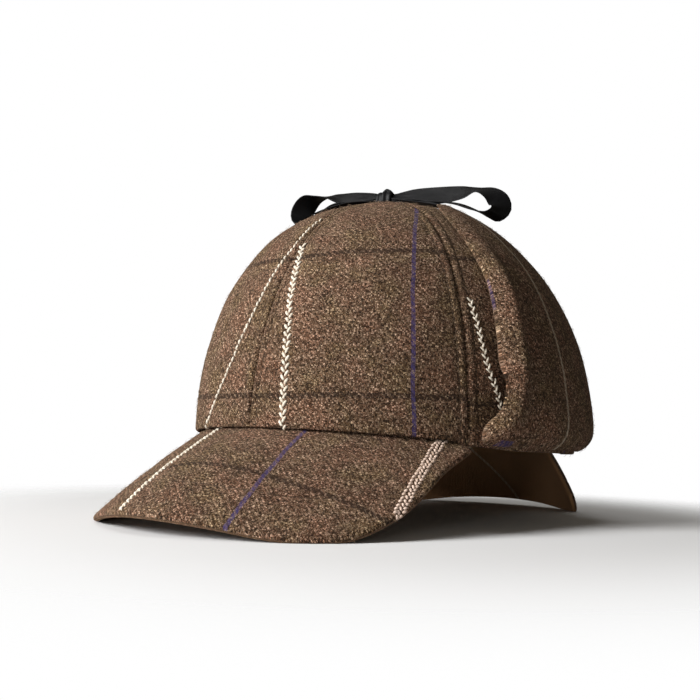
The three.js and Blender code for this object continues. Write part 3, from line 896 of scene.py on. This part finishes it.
def peak_surface(spec, seed, stitch_row):
    """The upper and lower face of a peak and its place on the flat cloth."""
    half_columns = 70
    along = np.linspace(-1, 1, 2 * half_columns + 1)
    near, _, length = peak_face(spec, along, 0 * along)
    far, _, _ = peak_face(spec, along, 0 * along + 1)
    right = slice(half_columns, None)
    flat_near, flat_far = unrolled(near[right], far[right])
    flip = np.array([-1, 1])
    flat_near = np.concatenate([flat_near[:0:-1] * flip, flat_near])
    flat_far = np.concatenate([flat_far[:0:-1] * flip, flat_far])
    nose = NOSE_OUT * spec["thickness"]
    edge = np.array([0, 0.1, 0.3, 0.6, 1.0, 1.5, 2.2, 3.2])
    rows = []
    for k in range(len(along)):
        whole = length[k] + nose
        inward = np.minimum(edge, whole * edge / edge[-1] * 0.3)
        rest = np.linspace(whole + PEAK_TUCK, inward[-1], 48)[:-1]
        rows.append(1 - (np.concatenate([rest, inward[::-1]]) - nose) / length[k])
    w = np.array(rows).T
    upper, face, _ = peak_face(spec, along[None], np.clip(w, 0, 1))
    outward = (w - np.clip(w, 0, 1))[..., None] * (far - near)[None]
    from_edge = (1 - w) * length[None] + nose
    half = spec["thickness"] / 2
    ends = (1 - np.abs(along)) * spec["half_angle"] * MEAN_RADIUS
    fullness = rounded(from_edge, half) * rounded(ends + 0.2, half)[None]
    cloth = flat_near[None] * (1 - w[..., None]) + flat_far[None] * w[..., None]
    soft = 0.35 * ripple(cloth[..., 0], cloth[..., 1], seed)
    soft = soft * smoothstep(from_edge, 1, 12) * smoothstep(w, 0, 0.3)
    groove = -0.22 * bump(from_edge, stitch_row, 0.7) * smoothstep(w, 0.02, 0.12)
    middle = upper + outward - face * half
    outer = middle + face * (half * fullness + soft + groove)[..., None]
    inner = middle - face * (half * fullness)[..., None]
    return {
        "outer": outer,
        "inner": inner,
        "cloth": cloth,
        "from_edge": from_edge,
        "centre": np.array([0, 0, -60.0]),
    }


def contour_path(surface, distance):
    """The line on a peak at an even distance from its outer edge."""
    points, from_edge, normals = surface["outer"], surface["from_edge"], facing_out(surface)
    found, facing = [], []
    for column in range(points.shape[1]):
        d = from_edge[:, column]
        if d[0] < distance + 1:
            continue
        found.append(rows_at(distance, d[::-1], points[::-1, column]))
        facing.append(rows_at(distance, d[::-1], normals[::-1, column]))
    return np.array(found), np.array(facing)


# plain is how far a peak's underside is covered with the lighter plain brown, painted light under the peak
PEAK_LOOKS = {
    "front_peak": {
        "spec": FRONT_PEAK, "seed": 51, "stitch_row": 20.0, "turned": 9.5, "turned_under": 0, "plain": 0.25,
        "blues": [25.4, -75.0], "creams": [], "wefts": [-34.5, 60.0],
        "chains": [(-22.0, SLIM_CHAIN, 2), (76.0, BROAD_CHAIN, 3)],
    },
    "back_peak": {
        "spec": BACK_PEAK, "seed": 52, "stitch_row": 9.0, "turned": 0, "turned_under": -32, "plain": 0.95,
        "blues": [26.0], "creams": [UNDERSIDE + 4.6], "wefts": [],
        "chains": [(-24.0, SLIM_CHAIN, 2)],
    },
}


def build_peaks():
    for name, look in PEAK_LOOKS.items():
        surface = peak_surface(look["spec"], look["seed"], look["stitch_row"])
        lining = turned_cloth(surface["cloth"], look["turned_under"], UNDERSIDE)
        surface["cloth"] = turned_cloth(surface["cloth"], look["turned"])
        material = tweed(f"tweed_{name}", look["blues"], look["creams"], look["wefts"], plain=look["plain"])
        piece = shell(f"{name}_cloth", surface["outer"], surface["inner"], surface["cloth"], material, lining)
        rides(piece, "tweed", name)
        hairs.append(loose_hairs(surface))
        for place, width, columns in look["chains"]:
            path, normals = stripe_path(surface, place, margin=0.5)
            if width == BROAD_CHAIN:
                broad_chains.extend(chain(path, normals, width, columns, BROAD_PITCH))
            else:
                chains.extend(chain(path, normals, width, columns, PEAK_PITCH))
        path, normals = contour_path(surface, look["stitch_row"])
        threads.append(topstitches(path, normals, 2, 0.45, 0.35))


def flap_surface(side):
    """The faces of an ear flap, thick and round along its edges; side is 1 for the wearer's left."""
    middle = math.radians(FLAP_MIDDLE)
    first_rise = float(rise_at_height(middle, GAP))
    rises, arcs = meridian(middle, first_rise + math.radians(FLAP_RISE), 500)
    low, top = float(np.interp(first_rise, rises, arcs)), float(arcs[-1])
    edge_steps = np.array([0, 0.1, 0.3, 0.6, 1.0, 1.5, 2.1, 2.8, 3.6, 4.5, 5.5, 6.6, 8.0])
    between = np.arange(low + 9.5, top - 9, 1.6)
    climbs = np.concatenate([low + edge_steps, between, top - edge_steps[::-1]])[:, None]
    rise = np.interp(climbs, arcs, rises)
    v = (rise - first_rise) / math.radians(FLAP_RISE)
    width = from_table(FLAP_WIDTHS, v) * math.radians(FLAP_HALF_ANGLE)
    half = width * MEAN_RADIUS * np.cos(rise) ** (2 / roundness(middle))
    near = edge_steps[None] * np.minimum(1, half / 20)
    inside = near[:, -1:] + (half - near[:, -1:]) * np.linspace(0, 1, 20)[None, 1:]
    distance = np.concatenate([near, inside], 1)
    across = np.concatenate([distance - half, (half - distance)[:, -2::-1]], 1) / half
    d = np.concatenate([distance, distance[:, -2::-1]], 1)
    front = smoothstep(-across, 0, 1)
    height = dome_point(np.full(rise.shape, middle), rise)[..., 2]
    turn = middle + across * width + np.radians(from_table(FLAP_FRONT_TURN, height)) * front
    corner = 1 - rounded(climbs - low, FLAP_CORNER)
    turn = turn - corner * FLAP_CORNER / MEAN_RADIUS * smoothstep(across, 0, 1)
    turn = turn + (1 - rounded(climbs - low, FLAP_FRONT_CORNER)) * FLAP_FRONT_CORNER / MEAN_RADIUS * front
    crest = from_table(FLAP_CRESTS, height) * (1 + 0 * across)
    ends = rounded(top - climbs, 2.0)
    base = GORE_PUFF + 0.15
    low_face = base + from_table(FLAP_GAPE, height) * front**4
    roll = low_face + np.minimum(2.6, 0.5 * (crest - low_face))
    puff = from_table(FLAP_PUFF, height) * bump(d, 6.5, 4.5) * smoothstep(-across, 0.2, 0.5)
    out = roll + (crest - roll) * rounded(d, 8.5) + puff
    under = low_face + np.maximum(crest - FLAP_WALL - low_face, 0) * smoothstep(d, 6, 17)
    under = roll + (under - roll) * rounded(d, 2.6)
    centre_lift = (out + under) / 2
    out = centre_lift + (out - centre_lift) * ends
    under = centre_lift + (under - centre_lift) * ends
    cloth_v = climbs + 0 * across
    soft = 0.5 * ripple(across * half, cloth_v, 71 if side > 0 else 72, size=36) * smoothstep(d, 2, 14)
    outer = lifted_point(side * turn, rise + 0 * turn, out + soft * smoothstep(cloth_v, 4, 20))
    paces = np.cumsum(np.linalg.norm(np.diff(outer, axis=1), axis=2), axis=1)
    cloth_u = np.concatenate([np.zeros((len(outer), 1)), paces], 1)
    cloth_u = cloth_u - cloth_u[:, [outer.shape[1] // 2]]
    cloth = np.stack([side * (cloth_u + FLAP_STRIPE), cloth_v], -1)
    inner = lifted_point(side * turn, rise + 0 * turn, under)
    for skin in (outer, inner):
        skin[..., 2] -= FLAP_SAG * np.exp(-((height / 5.0) ** 2))
    return {"outer": outer, "inner": inner, "cloth": cloth, "centre": np.array([0, 0, 20.0])}


def build_flaps():
    for name, side in (("left", 1), ("right", -1)):
        surface = flap_surface(side)
        bit_middle, *bit = FLAP_BLUE["bit"]
        material = tweed(
            f"tweed_flap_{name}", [FLAP_BLUE["place"] * side], [0.0], blue_lean=FLAP_BLUE["lean"] * side,
            blue_span=FLAP_BLUE["span"], blue_strength=FLAP_BLUE["strength"],
            blue_bits=[(bit_middle * side, *bit)],
        )
        skins = surface["outer"], surface["inner"]
        piece = shell(f"ear_flap_{name}_cloth", *skins, surface["cloth"], material)
        rides(piece, "tweed", f"ear_flap_{name}")
        hairs.append(loose_hairs(surface))


# The bow: stops are places along the ribbon, each with the direction across it and its width
bow_axis = np.array([math.cos(BOW_TURN), math.sin(BOW_TURN), 0.0])
bow_across = np.array([-bow_axis[1], bow_axis[0], 0.0])
knot_base = CROWN_HEIGHT + GORE_PUFF
first_layer = knot_base + 2.3


def bow_place(out, height, aside=0.0):
    return np.array([0, BOW_Y, height]) + bow_axis * out + bow_across * aside


def smooth_through(rows, count):
    """Evenly spaced places on a smooth curve through the rows."""
    rows = np.array(rows, float)
    steps = arc_lengths(rows[:, :3])
    fine = np.linspace(0, steps[-1], count)
    columns = [from_table(list(zip(steps, rows[:, k])), fine) for k in range(rows.shape[1])]
    return np.stack(columns, -1)


def ribbon(node, stops):
    """A satin ribbon through stops, each a place, a direction across, a width and how far it is gathered."""
    rows = smooth_through(stops, 90)
    place, across, width, gather = rows[:, :3], rows[:, 3:6], rows[:, 6], rows[:, 7]
    along = unit(np.gradient(place, axis=0))
    across = unit(across - along * (across * along).sum(1, keepdims=True))
    facing = np.cross(along, across)
    share = np.concatenate([[-1, -0.985, -0.95], np.linspace(-0.88, 0.88, 21), [0.95, 0.985, 1]])
    half = RIBBON_THICKNESS / 2
    thin = half * rounded((1 - np.abs(share)) * RIBBON_WIDTH / 2, 0.35)[None]
    folds = gather[:, None] * 0.5 * np.sin(share * 9)[None]
    middle = place[:, None] + across[:, None] * share[None, :, None] * width[:, None, None] / 2
    middle = middle + facing[:, None] * (folds * (1 - 0.3 * np.abs(share)))[..., None]
    aside = facing[:, None] * thin[..., None]
    cloth = np.stack(np.broadcast_arrays(share[None] * RIBBON_WIDTH / 2, arc_lengths(place)[:, None]), -1)
    piece = shell(f"{node}_satin", middle + aside, middle - aside, cloth, black_satin)
    rides(piece, "satin", node)


def girth(out):
    """The ribbon's width and how far it is gathered, at a distance from the middle of the bow."""
    opened = float(smoothstep(out, KNOT_LENGTH / 2, FULL_WIDTH_AT))
    return [RIBBON_WIDTH * (PINCH + (1 - PINCH) * opened), 1 - float(smoothstep(out, 2, 16))]


def crown_stop(side, out, turn_away, lift, layer):
    """A stop on the crown, which rises into the bow near the knot."""
    near = 1 - float(smoothstep(out, KNOT_LENGTH / 2 + 1, STACKED_TO))
    in_bow = bow_place(side * out, 0)
    away = np.array([side * out, BOW_Y + turn_away, 0])
    place = in_bow * near + away * (1 - near)
    place[2] = (dome_height(place[0], place[1]) + lift) * (1 - near) + layer * near
    across = bow_across * near + np.array([0, 1, 0]) * (1 - near)
    return [*place, *across, *girth(out)]


def build_bow():
    for name, side in (("left", 1), ("right", -1)):
        tip_turn = math.radians(FLAP_MIDDLE)
        tip_rise = float(rise_at_height(tip_turn, GAP)) + math.radians(FLAP_RISE)
        lift = GORE_PUFF + FLAP_CLEARANCE + FLAP_WALL / 2
        tip = lifted_point(np.array(side * tip_turn), np.array(tip_rise), np.array(lift))
        start = float(tip[0]) * side - GAP - 1
        stops = [
            crown_stop(
                side, start + (GAP - start) * s, (float(tip[1]) - BOW_Y) * (1 - s), RIBBON_LIFT, first_layer
            )
            for s in np.linspace(0, 1, 15)
        ]
        ribbon(f"ribbon_{name}", stops)
        lift, layer = RIBBON_LIFT + LAYER_STEP + TAIL_LIFT, first_layer + LAYER_STEP
        tails = [
            crown_stop(side, out, side * out * math.tan(BOW_TURN), lift, layer)
            for out in np.linspace(GAP, TAIL_LENGTH, 9)
        ]
        ribbon(f"bow_tail_{name}", tails)
    build_loops()
    build_knot()


# Along each loop from the knot, out on the underside and back over the top: share of its length, height, and
# how far the ribbon is rolled about its own length, in degrees
LOOPS = {
    "left": (1, 56, [
        (0.01, 0, 0), (0.2, -0.8, 12), (0.45, -2.2, 15), (0.65, -4.2, 15), (0.8, -7.6, 12), (0.91, -10.2, 0),
        (0.99, -10.2, -25), (1.03, -7, -50), (1.01, -3.4, -56), (0.94, 0.4, -40), (0.83, 2.2, -24),
        (0.7, 1.3, -46), (0.5, 0.6, -58), (0.25, 1, -55), (0.1, 1.4, -40), (0.01, 1.5, -10),
    ]),
    "right": (-1, 47, [
        (0.01, 0, 0), (0.2, 0.2, -15), (0.5, -0.3, -15), (0.6, -1.5, -15), (0.7, -4.5, -15),
        (0.82, -7.8, -25), (0.92, -9, -40), (0.96, -7, -48), (0.95, -3.8, -50), (0.89, 0.2, -35),
        (0.78, 2.6, 0), (0.63, 3.4, 22), (0.5, 2.2, 38), (0.35, 1.3, 50), (0.15, 1.4, 48), (0.01, 1.5, 10),
    ]),
}


def build_loops():
    for name, (side, length, rows) in LOOPS.items():
        base = first_layer + 2 * LAYER_STEP
        centres = np.array([bow_place(side * share * length, base + up) for share, up, _ in rows])
        forward = unit(np.gradient(centres, axis=0))
        stops = []
        for place, along, (share, _, roll) in zip(centres, forward, rows):
            level = np.cross(along, bow_across)
            across = bow_across * math.cos(math.radians(roll)) + level * math.sin(math.radians(roll))
            stops.append([*place, *across, *girth(share * length)])
        ribbon(f"bow_loop_{name}", stops)


def build_knot():
    """A band of ribbon pulled tight and a little askew round all the layers, with a pinched fold on top."""
    low = knot_base + 1.4
    high = first_layer + 2 * LAYER_STEP + 2.6
    half_height, half_width = (high - low) / 2, 3.6
    angles = np.linspace(0, 2 * math.pi, 61)[:-1, None]
    shares = np.linspace(-1, 1, 21)[None]
    ridges = 0.3 * np.cos(7.5 * shares + 1.5 * np.sin(angles))
    pinch = 1.5 * bump(angles, math.pi / 2, 0.6) * bump(shares, 0.15, 0.4)
    grow = 1.3 * np.sqrt(1 - 0.85 * shares**2) + ridges + pinch
    waves = (np.cos(angles), np.sin(angles))
    across, up = (np.sign(wave) * np.abs(wave) ** KNOT_OUTLINE_POWER for wave in waves)
    out = shares * KNOT_LENGTH / 2 * (1 - 0.25 * bump(angles, math.pi / 2, 0.9)) + 1.2 * np.sin(angles)
    skins = []
    for rise in (grow, 0 * grow):
        height = (low + high) / 2 + (half_height + rise) * up
        aside = (half_width + rise) * across
        out_here, aside, height = np.broadcast_arrays(out, aside, height)
        skins.append(
            bow_place(0, 0)
            + out_here[..., None] * bow_axis
            + aside[..., None] * bow_across
            + height[..., None] * np.array([0, 0, 1])
        )
    count = skins[0].shape[0] * skins[0].shape[1]
    index = np.arange(count).reshape(skins[0].shape[:2])
    after = np.roll(index, -1, axis=0)
    front = np.stack([index[:, :-1], after[:, :-1], after[:, 1:], index[:, 1:]], -1).reshape(-1, 4)
    first = np.stack([after[:, 0], index[:, 0], index[:, 0] + count, after[:, 0] + count], -1)
    last = np.stack([index[:, -1], after[:, -1], after[:, -1] + count, index[:, -1] + count], -1)
    faces = np.concatenate([front, front[:, ::-1] + count, first, last])
    points = np.concatenate([skin.reshape(-1, 3) for skin in skins])
    if volume_of(points, faces) < 0:
        faces = faces[:, ::-1]
    cloth = np.stack(np.broadcast_arrays(shares * 6, angles * 4), -1).reshape(-1, 2)
    piece = new_object("bow_knot_satin", placed(points), faces, black_satin, np.concatenate([cloth, cloth]))
    rides(piece, "satin", "bow_knot")


def loose_hairs(surface):
    """Hairs of the wool that stand off a sheet's outer face, spread evenly over it."""
    points, normals = surface["outer"], facing_out(surface)
    corner = points[:-1, :-1]
    down, over = points[1:, :-1] - corner, points[:-1, 1:] - corner
    areas = np.linalg.norm(np.cross(down, over), axis=-1)
    count = int(areas.sum() / CLOTH_PER_HAIR)
    picked = random.choice(areas.size, count, p=areas.ravel() / areas.sum())
    row, column = np.unravel_index(picked, areas.shape)
    shares = random.uniform(0, 1, (2, count, 1))
    roots = corner[row, column] + down[row, column] * shares[0] + over[row, column] * shares[1]
    up = normals[row, column]
    aside = unit(np.cross(up, random.normal(size=(count, 3))))
    lean = random.uniform(0.05, 0.45, (count, 1))
    along = aside * np.cos(lean) + up * np.sin(lean)
    facing = up * np.cos(lean) - aside * np.sin(lean)
    centres = roots + along * HAIR_LENGTH * 0.45
    return yarn_bits(centres, along, facing, HAIR_LENGTH, HAIR_WIDTH, HAIR_WIDTH, sides=4, rings=4)


def build_stitches():
    for name, parts, material in (
        ("loose_hairs", hairs, wool_hair),
        ("chain_stripes", chains, cream_yarn),
        ("broad_stripe", broad_chains, beige_yarn),
        ("topstitching", threads, brown_thread),
    ):
        points, faces = joined(parts)
        rides(new_object(name, placed(points), faces, material), "tweed")


# Studio
def area_light(name, place, target, size, power):
    data = bpy.data.lights.new(name, "AREA")
    data.shape = "DISK"
    data.size = size
    data.energy = power
    light = bpy.data.objects.new(name, data)
    light.location = place
    light.rotation_mode = "QUATERNION"
    light.rotation_quaternion = (Vector(target) - Vector(place)).to_track_quat("-Z", "Y")
    bpy.context.scene.collection.objects.link(light)


def build_camera():
    azimuth, elevation = CAMERA_AZIMUTH, CAMERA_ELEVATION
    level = math.cos(elevation)
    back = Vector((math.sin(azimuth) * level, -math.cos(azimuth) * level, math.sin(elevation)))
    right = Vector((math.cos(azimuth), math.sin(azimuth), 0))
    up = back.cross(right)
    rolled_right = right * math.cos(CAMERA_ROLL) + up * math.sin(CAMERA_ROLL)
    rolled_up = up * math.cos(CAMERA_ROLL) - right * math.sin(CAMERA_ROLL)
    data = bpy.data.cameras.new("camera")
    data.sensor_width = SENSOR
    data.lens = FOCAL_PIXELS * SENSOR / PHOTO_SIDE
    data.clip_start = 0.01
    data.clip_end = 20
    camera = bpy.data.objects.new("camera", data)
    place = (CAMERA_TARGET + back * CAMERA_DISTANCE) * MM
    turned_axes = Matrix((rolled_right, rolled_up, back)).transposed()
    camera.matrix_world = Matrix.Translation(place) @ turned_axes.to_4x4()
    bpy.context.scene.collection.objects.link(camera)
    bpy.context.scene.camera = camera


def disc(radius, rings=12, around=96):
    """A flat round floor as points and faces, facing up."""
    turns = np.linspace(0, 2 * math.pi, around, endpoint=False)
    radii = radius * np.linspace(0, 1, rings + 1)[1:] ** 1.6
    points = [[r * math.cos(t), r * math.sin(t), 0] for r in radii for t in turns] + [[0, 0, 0]]
    index = np.arange(rings * around).reshape(rings, around)
    after = np.roll(index, -1, axis=1)
    quads = np.stack([index[1:], after[1:], after[:-1], index[:-1]], -1).reshape(-1, 4).tolist()
    middle = [[rings * around, int(index[0, k]), int(after[0, k])] for k in range(around)]
    return points, quads + middle


def floor_material():
    """Pale matt floor that fades into the backdrop away from the hat."""
    material, g, shader = new_material("floor_pale")
    g.fill(shader, {"Base Color": (0.78, 0.78, 0.78, 1), "Roughness": 0.9, "Specular IOR Level": 0.1})
    place = g.node("ShaderNodeTexCoord").outputs["Object"]
    distance = g.node("ShaderNodeVectorMath", {0: place}, operation="LENGTH").outputs["Value"]
    reach = {0: distance, 1: FLOOR_FADE[0], 2: FLOOR_FADE[1]}
    fade = g.node("ShaderNodeMapRange", reach, interpolation_type="SMOOTHSTEP").outputs[0]
    clear = g.node("ShaderNodeBsdfTransparent")
    mixed = g.node("ShaderNodeMixShader", {0: fade, 1: shader.outputs[0], 2: clear.outputs[0]})
    output = next(node for node in g.tree.nodes if node.type == "OUTPUT_MATERIAL")
    g.fill(output, {"Surface": mixed.outputs[0]})
    return material


def build_studio():
    """A pale floor that runs into a plain white backdrop, the same from every side, under soft lights."""
    points, faces = disc(FLOOR_RADIUS)
    mesh = bpy.data.meshes.new("floor")
    mesh.from_pydata(points, [], faces)
    mesh.materials.append(floor_material())
    floor = bpy.data.objects.new("floor", mesh)
    bpy.context.scene.collection.objects.link(floor)

    white = bpy.data.materials.new("backdrop_white")
    white.use_nodes = True
    white.node_tree.nodes.clear()
    g = Graph(white.node_tree)
    glow = g.node("ShaderNodeEmission", {"Color": (1, 1, 1, 1), "Strength": BACKDROP_BRIGHTNESS})
    g.node("ShaderNodeOutputMaterial", {"Surface": glow.outputs[0]})
    bpy.ops.mesh.primitive_uv_sphere_add(segments=64, ring_count=32, radius=BACKDROP_RADIUS)
    backdrop = bpy.context.object
    backdrop.name = "backdrop"
    backdrop.data.materials.append(white)
    for ray in ("visible_diffuse", "visible_glossy", "visible_transmission", "visible_shadow"):
        setattr(backdrop, ray, False)

    world = bpy.data.worlds.new("world")
    world.use_nodes = True
    world.node_tree.nodes["Background"].inputs[0].default_value = WORLD_COLOUR
    world.node_tree.nodes["Background"].inputs[1].default_value = WORLD_BRIGHTNESS
    bpy.context.scene.world = world
    for light in LIGHTS:
        area_light(*light)
    bpy.context.scene.view_settings.view_transform = "Standard"


build_camera()
build_studio()
build_crown()
build_peaks()
build_flaps()
build_bow()
build_stitches()
